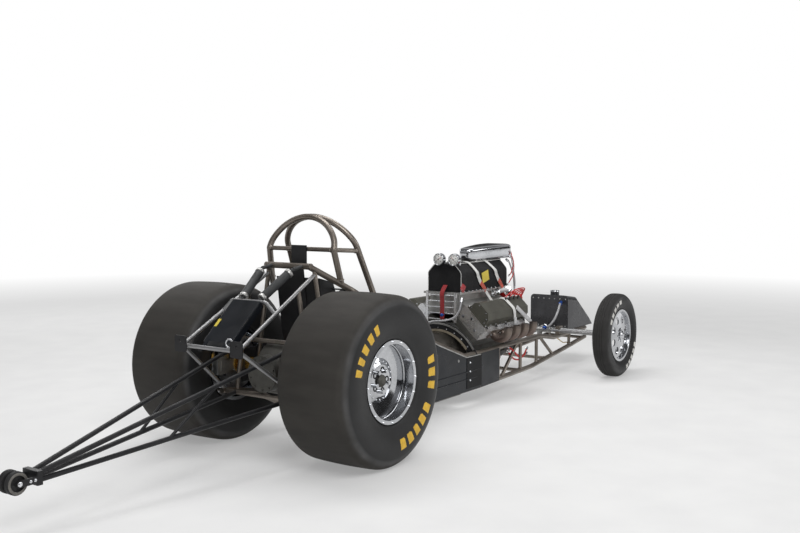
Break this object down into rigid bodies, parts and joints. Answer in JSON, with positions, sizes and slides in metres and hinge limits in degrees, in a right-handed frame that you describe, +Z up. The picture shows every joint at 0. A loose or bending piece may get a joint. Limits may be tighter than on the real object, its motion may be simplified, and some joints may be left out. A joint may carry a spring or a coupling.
{
  "type": "front-engined drag racing car",
  "caption": "Body-off drag racing car: tube frame with roll cage, supercharged V engine, wide rear slicks, narrow front wheels that steer, and wheelie bars.",
  "frame": {"origin": "on the ground, under the middle of the car's box in plan", "axes": "+X forward, +Y to the driver's left, +Z up"},
  "size_m": [5.707, 1.556, 1.3194],
  "materials": {
    "bare_steel": "satin",
    "black_paint": "gloss",
    "black_satin": "satin",
    "polished_aluminium": "polished",
    "cast_aluminium": "satin",
    "grey_cast": "matte",
    "cover_metal": "satin",
    "chrome": "polished",
    "rubber": "matte",
    "soft_rubber": "matte",
    "bag_fabric": "matte",
    "pipe_steel": "satin",
    "disc_steel": "satin",
    "gold_anodised": "satin",
    "red_paint": "gloss"
  },
  "bodies": {
    "chassis": {"axle_clamps": "cast_aluminium", "axle_plates": "black_satin", "bellhousing": "cover_metal", "blower_bag": "bag_fabric", "blower_case": "cast_aluminium", "body_mounts": "black_satin", "cage_bars": "bare_steel", "cage_hoops": "bare_steel", "cage_struts": "black_satin", "cockpit_tin": "cast_aluminium", "column_bush": "bare_steel", "coupler": "bare_steel", "cowl_arch": "black_satin", "cylinder_heads": "cast_aluminium", "differential": "cast_aluminium", "drive_belt": "soft_rubber", "drive_pulleys": "cast_aluminium", "engine_block": "grey_cast", "frame_braces": "bare_steel", "frame_crossmembers": "bare_steel", "frame_lower_rails": "bare_steel", "frame_upper_rails": "bare_steel", "front_axle": "bare_steel", "fuel_tank": "polished_aluminium", "gauges": "chrome", "gearbox": "cast_aluminium", "head_plate": "black_satin", "headers": "pipe_steel", "injector_hat": "polished_aluminium", "intake_manifold": "cast_aluminium", "magneto": "red_paint", "manifold_ladder": "cast_aluminium", "motor_plates": "cast_aluminium", "oil_pan": "cast_aluminium", "rear_axle_housing": "gold_anodised", "rear_calipers": "cast_aluminium", "seat": "cast_aluminium", "side_panels": "black_paint", "steering_rack": "cast_aluminium", "tail_deck": "black_paint", "tail_frame": "bare_steel", "valve_covers": "cover_metal", "wheelie_bars": "bare_steel", "wheelie_fork": "cast_aluminium", "wheelie_struts": "bare_steel"},
    "rear_wheels": {"rear_wheel_left": "polished_aluminium", "rear_wheel_right": "polished_aluminium", "rear_tyre_left": "rubber", "rear_tyre_right": "rubber", "rear_discs": "disc_steel"},
    "knuckle_left": {"knuckle_left": "bare_steel"},
    "knuckle_right": {"knuckle_right": "bare_steel"},
    "front_wheel_left": {"front_wheel_left": "polished_aluminium", "front_tyre_left": "rubber"},
    "front_wheel_right": {"front_wheel_right": "polished_aluminium", "front_tyre_right": "rubber"},
    "tie_rod": {"tie_rod": "chrome"},
    "steering_wheel": {"steering_wheel": "black_satin"},
    "steering_shaft": {"steering_shaft": "bare_steel"},
    "wheelie_wheels": {"wheelie_wheels": "soft_rubber"}
  },
  "joints": [
    {"name": "rear_axle_spin", "type": "hinge", "parent": "chassis", "child": "rear_wheels", "pos_m": [-1.1115, 0, 0.457], "axis": [0, 1, 0], "continuous": true},
    {"name": "left_kingpin", "type": "hinge", "parent": "chassis", "child": "knuckle_left", "pos_m": [2.0635, 0.6, 0.33], "axis": [0, 0, 1], "range_deg": [-18, 18]},
    {"name": "right_kingpin", "type": "hinge", "parent": "chassis", "child": "knuckle_right", "pos_m": [2.0635, -0.6, 0.33], "axis": [0, 0, 1], "range_deg": [-18, 18]},
    {"name": "left_front_spin", "type": "hinge", "parent": "knuckle_left", "child": "front_wheel_left", "pos_m": [2.0635, 0.6905, 0.33], "axis": [0, 1, 0], "continuous": true},
    {"name": "right_front_spin", "type": "hinge", "parent": "knuckle_right", "child": "front_wheel_right", "pos_m": [2.0635, -0.6905, 0.33], "axis": [0, 1, 0], "continuous": true},
    {"name": "rack_slide", "type": "slide", "parent": "chassis", "child": "tie_rod", "axis": [0, 1, 0], "range_m": [-0.036, 0.036]},
    {"name": "column_turn", "type": "hinge", "parent": "chassis", "child": "steering_wheel", "pos_m": [-0.4715, 0, 0.742], "axis": [0.632, 0.395, -0.6668], "range_deg": [-182, 182]},
    {"name": "shaft_turn", "type": "hinge", "parent": "chassis", "child": "steering_shaft", "pos_m": [-0.0715, 0.25, 0.32], "axis": [0.9987, -0.0502, 0.0105], "range_deg": [-182, 182]},
    {"name": "wheelie_spin", "type": "hinge", "parent": "chassis", "child": "wheelie_wheels", "pos_m": [-2.8035, 0, 0.222], "axis": [0, 1, 0], "continuous": true}
  ],
  "couplings": [
    {"joint": "right_kingpin", "follows": "left_kingpin", "ratio": 1},
    {"joint": "rack_slide", "follows": "left_kingpin", "m_per_rad": -0.11},
    {"joint": "column_turn", "follows": "left_kingpin", "ratio": -10},
    {"joint": "shaft_turn", "follows": "left_kingpin", "ratio": -10}
  ]
}
